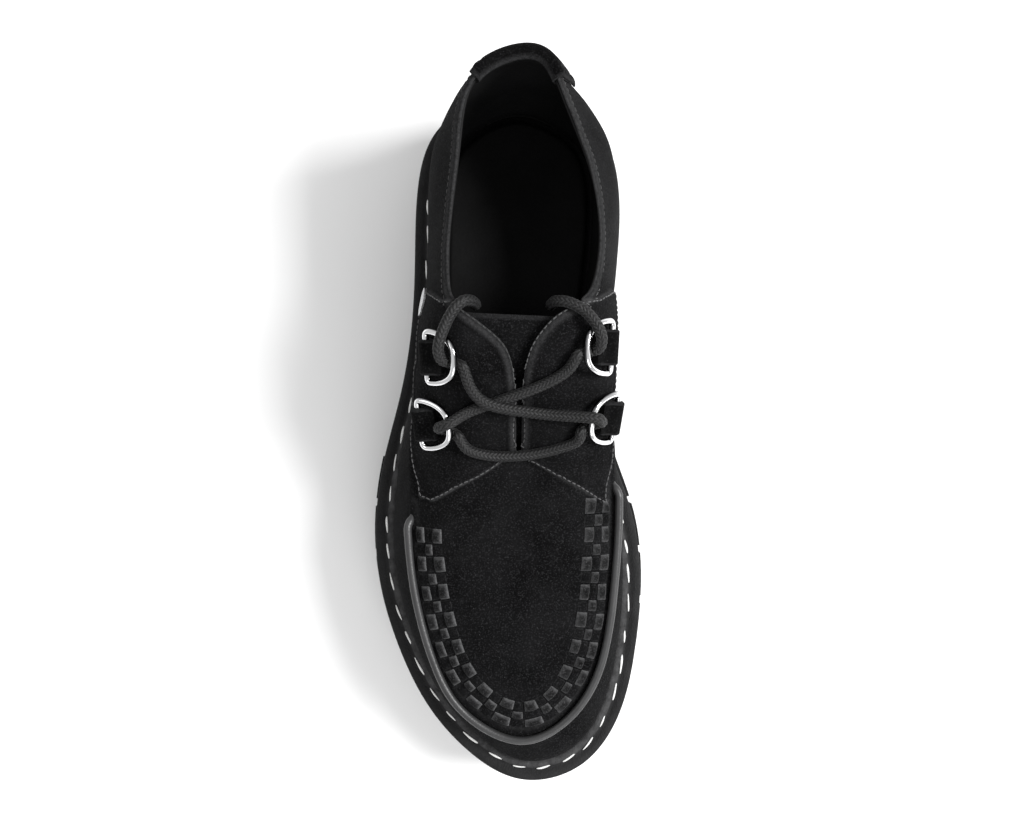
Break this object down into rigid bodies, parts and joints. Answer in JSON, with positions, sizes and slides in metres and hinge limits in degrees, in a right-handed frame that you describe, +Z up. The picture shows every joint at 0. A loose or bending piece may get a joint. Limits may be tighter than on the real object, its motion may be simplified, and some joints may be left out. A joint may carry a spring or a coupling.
{
  "type": "creeper shoe",
  "caption": "Thick-soled suede creeper shoe with a piped apron, a lace run through D-rings in folded tabs, and a lugged rubber sole with a bare screwed waist plate.",
  "frame": {"origin": "on the floor, under the middle of the box of the shoe", "axes": "+Z up, +Y from toe to heel, +X towards the big-toe side"},
  "size_m": [0.1215, 0.3, 0.1151],
  "materials": {
    "sole_rubber": "dull moulded black",
    "suede": "black suede with a short nap",
    "piping": "smooth dark cord with a soft sheen",
    "lining": "smooth black lining",
    "ring_metal": "polished nickel",
    "lace": "round braided cotton",
    "steel": "satin steel"
  },
  "bodies": {
    "root": {"outsole": "sole_rubber", "welt": "sole_rubber", "upper": "suede", "back_strap": "suede", "tongue": "suede", "ring_tab_lateral_upper": "suede", "ring_tab_lateral_lower": "suede", "ring_tab_medial_upper": "suede", "ring_tab_medial_lower": "suede", "apron_piping": "piping", "insole": "lining", "d_ring_lateral_upper": "ring_metal", "d_ring_lateral_lower": "ring_metal", "d_ring_medial_upper": "ring_metal", "d_ring_medial_lower": "ring_metal", "lace_crossings": "lace", "lace_end_lateral": "lace", "lace_end_medial": "lace", "sole_screw_1": "steel", "sole_screw_2": "steel", "side_badge": "steel"}
  },
  "joints": []
}
